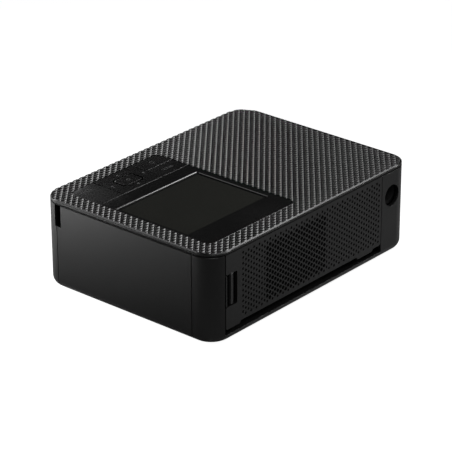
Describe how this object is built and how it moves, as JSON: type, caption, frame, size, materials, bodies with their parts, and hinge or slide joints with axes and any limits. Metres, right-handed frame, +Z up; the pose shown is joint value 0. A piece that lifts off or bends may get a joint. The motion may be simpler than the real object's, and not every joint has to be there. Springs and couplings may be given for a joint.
{
  "type": "compact photo printer",
  "caption": "Compact photo printer with a knurled top, screen and keys, a hinged ink door, a drop-down front cover, a perforated rear panel and a thermal print drive inside.",
  "frame": {"origin": "middle of the printer's outline, on the surface its feet stand on", "axes": "+X to the user's right, where the ink door is; -Y to the front, where the paper goes in; +Z up"},
  "size_m": [0.1822, 0.133, 0.0576],
  "materials": {
    "base_tray": "fine moulded texture, black",
    "main_case": "fine moulded texture, satin black",
    "top_cover": "knurled field with a polished rim, black",
    "rear_grille": "fine moulded texture, perforated",
    "rear_pocket": "fine moulded texture, black",
    "control_bezel": "piano black",
    "lcd_glass": "clear-coated dark window",
    "lcd_module": "pressed metal can",
    "key_board": "green circuit board",
    "home_key": "semi-gloss black",
    "power_key": "semi-gloss black",
    "pad_posts": "plain grey",
    "nav_gimbal": "plain grey",
    "nav_pad": "semi-gloss black",
    "ok_key": "semi-gloss black",
    "print_key": "semi-gloss black",
    "ink_door": "fine moulded texture, satin black",
    "ink_door_pins": "turned",
    "ink_bay_frame": "fine moulded texture",
    "eject_lever": "light grey",
    "front_door": "fine moulded texture, satin black",
    "front_door_pins": "turned",
    "foot_front_left": "soft, dull",
    "foot_front_right": "soft, dull",
    "foot_rear_left": "soft, dull",
    "foot_rear_right": "soft, dull",
    "dc_jack": "plain black",
    "jack_pin": "nickel plated",
    "fan_frame": "plain black",
    "fan_rotor": "plain black",
    "main_board": "green circuit board",
    "port_board": "green circuit board",
    "card_slot": "pressed sheet",
    "usb_port": "pressed sheet",
    "left_side_plate": "zinc-plated sheet",
    "right_side_plate": "zinc-plated sheet",
    "paper_bay_floor": "dark grey",
    "paper_bay_roof": "dark grey",
    "lower_guide": "dark grey",
    "upper_guide": "dark grey",
    "platen_roller": "ground rubber sleeve",
    "feed_roller": "grit-rolled shaft",
    "feed_gear": "natural acetal",
    "pinch_roller": "ground rubber sleeve",
    "pickup_roller": "grooved rubber tyres",
    "motor_can": "plated can",
    "motor_bracket": "zinc-plated sheet",
    "motor_pinion": "cut brass",
    "idler_gear": "natural acetal",
    "idler_stud": "turned",
    "ribbon_case": "grey shell",
    "ribbon_film": "thin dyed film",
    "supply_spool": "white",
    "supply_ribbon": "wound dyed film",
    "takeup_spool": "white",
    "takeup_ribbon": "wound dyed film",
    "takeup_gear": "natural acetal",
    "head_shaft": "ground shaft",
    "head_arm": "zinc-plated sheet",
    "thermal_head": "extruded heat sink"
  },
  "bodies": {
    "printer": {"base_tray": "base_tray", "main_case": "main_case", "top_cover": "top_cover", "rear_grille": "rear_grille", "rear_pocket": "rear_pocket", "control_bezel": "control_bezel", "lcd_glass": "lcd_glass", "lcd_module": "lcd_module", "key_board": "key_board", "pad_posts": "pad_posts", "ink_door_pins": "ink_door_pins", "ink_bay_frame": "ink_bay_frame", "front_door_pins": "front_door_pins", "foot_front_left": "foot_front_left", "foot_front_right": "foot_front_right", "foot_rear_left": "foot_rear_left", "foot_rear_right": "foot_rear_right", "dc_jack": "dc_jack", "jack_pin": "jack_pin", "fan_frame": "fan_frame", "main_board": "main_board", "port_board": "port_board", "card_slot": "card_slot", "usb_port": "usb_port", "left_side_plate": "left_side_plate", "right_side_plate": "right_side_plate", "paper_bay_floor": "paper_bay_floor", "paper_bay_roof": "paper_bay_roof", "lower_guide": "lower_guide", "upper_guide": "upper_guide", "motor_can": "motor_can", "motor_bracket": "motor_bracket", "idler_stud": "idler_stud", "ribbon_case": "ribbon_case", "ribbon_film": "ribbon_film", "head_shaft": "head_shaft"},
    "ink_door": {"ink_door": "ink_door"},
    "front_door": {"front_door": "front_door"},
    "home_key": {"home_key": "home_key"},
    "power_key": {"power_key": "power_key"},
    "nav_gimbal": {"nav_gimbal": "nav_gimbal"},
    "nav_pad": {"nav_pad": "nav_pad"},
    "ok_key": {"ok_key": "ok_key"},
    "print_key": {"print_key": "print_key"},
    "eject_lever": {"eject_lever": "eject_lever"},
    "fan_rotor": {"fan_rotor": "fan_rotor"},
    "platen_roller": {"platen_roller": "platen_roller"},
    "feed_roller": {"feed_roller": "feed_roller", "feed_gear": "feed_gear"},
    "pinch_roller": {"pinch_roller": "pinch_roller"},
    "pickup_roller": {"pickup_roller": "pickup_roller"},
    "motor_pinion": {"motor_pinion": "motor_pinion"},
    "idler_gear": {"idler_gear": "idler_gear"},
    "supply_spool": {"supply_spool": "supply_spool", "supply_ribbon": "supply_ribbon"},
    "takeup_spool": {"takeup_spool": "takeup_spool", "takeup_ribbon": "takeup_ribbon", "takeup_gear": "takeup_gear"},
    "print_head": {"head_arm": "head_arm", "thermal_head": "thermal_head"}
  },
  "joints": [
    {"name": "ink_door_hinge", "type": "hinge", "parent": "printer", "child": "ink_door", "pos_m": [0.0866, 0.046, 0.03], "axis": [0, 0, 1], "range_deg": [0, 90]},
    {"name": "front_door_hinge", "type": "hinge", "parent": "printer", "child": "front_door", "pos_m": [0.014, -0.062, 0.01], "axis": [1, 0, 0], "range_deg": [0, 90]},
    {"name": "home_key_press", "type": "slide", "parent": "printer", "child": "home_key", "axis": [0, 0, -1], "range_m": [0, 0.0005], "stiffness_N_per_m": 600, "springref_m": -0.0003},
    {"name": "power_key_press", "type": "slide", "parent": "printer", "child": "power_key", "axis": [0, 0, -1], "range_m": [0, 0.0005], "stiffness_N_per_m": 600, "springref_m": -0.0003},
    {"name": "ok_key_press", "type": "slide", "parent": "printer", "child": "ok_key", "axis": [0, 0, -1], "range_m": [0, 0.0005], "stiffness_N_per_m": 600, "springref_m": -0.0003},
    {"name": "print_key_press", "type": "slide", "parent": "printer", "child": "print_key", "axis": [0, 0, -1], "range_m": [0, 0.0005], "stiffness_N_per_m": 600, "springref_m": -0.0003},
    {"name": "pad_tip_sideways", "type": "hinge", "parent": "printer", "child": "nav_gimbal", "pos_m": [0.0412, -0.043, 0.05495], "axis": [0, 1, 0], "range_deg": [-1, 1], "stiffness_Nm_per_rad": 0.12},
    {"name": "pad_tip_lengthwise", "type": "hinge", "parent": "nav_gimbal", "child": "nav_pad", "pos_m": [0.0412, -0.043, 0.05495], "axis": [1, 0, 0], "range_deg": [-1, 1], "stiffness_Nm_per_rad": 0.12},
    {"name": "eject_lever_slide", "type": "slide", "parent": "printer", "child": "eject_lever", "axis": [0, 0, 1], "range_m": [0, 0.0052]},
    {"name": "fan_turn", "type": "hinge", "parent": "printer", "child": "fan_rotor", "pos_m": [0.018, 0.06, 0.032], "axis": [0, 1, 0], "continuous": true},
    {"name": "takeup_turn", "type": "hinge", "parent": "printer", "child": "takeup_spool", "pos_m": [0, 0.025, 0.04], "axis": [1, 0, 0], "continuous": true},
    {"name": "idler_turn", "type": "hinge", "parent": "printer", "child": "idler_gear", "pos_m": [-0.05, 0.01058, 0.02614], "axis": [1, 0, 0], "continuous": true},
    {"name": "motor_turn", "type": "hinge", "parent": "printer", "child": "motor_pinion", "pos_m": [-0.05, -0.00521, 0.03189], "axis": [1, 0, 0], "continuous": true},
    {"name": "feed_turn", "type": "hinge", "parent": "printer", "child": "feed_roller", "pos_m": [0, 0.012, 0.0094], "axis": [1, 0, 0], "continuous": true},
    {"name": "supply_turn", "type": "hinge", "parent": "printer", "child": "supply_spool", "pos_m": [0, -0.035, 0.04], "axis": [1, 0, 0], "continuous": true},
    {"name": "platen_turn", "type": "hinge", "parent": "printer", "child": "platen_roller", "pos_m": [0, -0.005, 0.0095], "axis": [1, 0, 0], "continuous": true},
    {"name": "pinch_turn", "type": "hinge", "parent": "printer", "child": "pinch_roller", "pos_m": [0, 0.012, 0.015], "axis": [1, 0, 0], "continuous": true},
    {"name": "pickup_turn", "type": "hinge", "parent": "printer", "child": "pickup_roller", "pos_m": [0, -0.038, 0.0246], "axis": [1, 0, 0], "continuous": true},
    {"name": "head_press", "type": "hinge", "parent": "printer", "child": "print_head", "pos_m": [0.014, 0.005, 0.041], "axis": [1, 0, 0], "range_deg": [0, 4], "stiffness_Nm_per_rad": 0.6, "springref_deg": -1.72}
  ],
  "couplings": [
    {"joint": "idler_turn", "follows": "takeup_turn", "ratio": -0.66667},
    {"joint": "motor_turn", "follows": "takeup_turn", "ratio": 1.6667},
    {"joint": "feed_turn", "follows": "takeup_turn", "ratio": 1.6667},
    {"joint": "platen_turn", "follows": "takeup_turn", "ratio": 0.86667},
    {"joint": "pinch_turn", "follows": "takeup_turn", "ratio": -1.6667},
    {"joint": "supply_turn", "follows": "takeup_turn", "ratio": -0.82353}
  ]
}
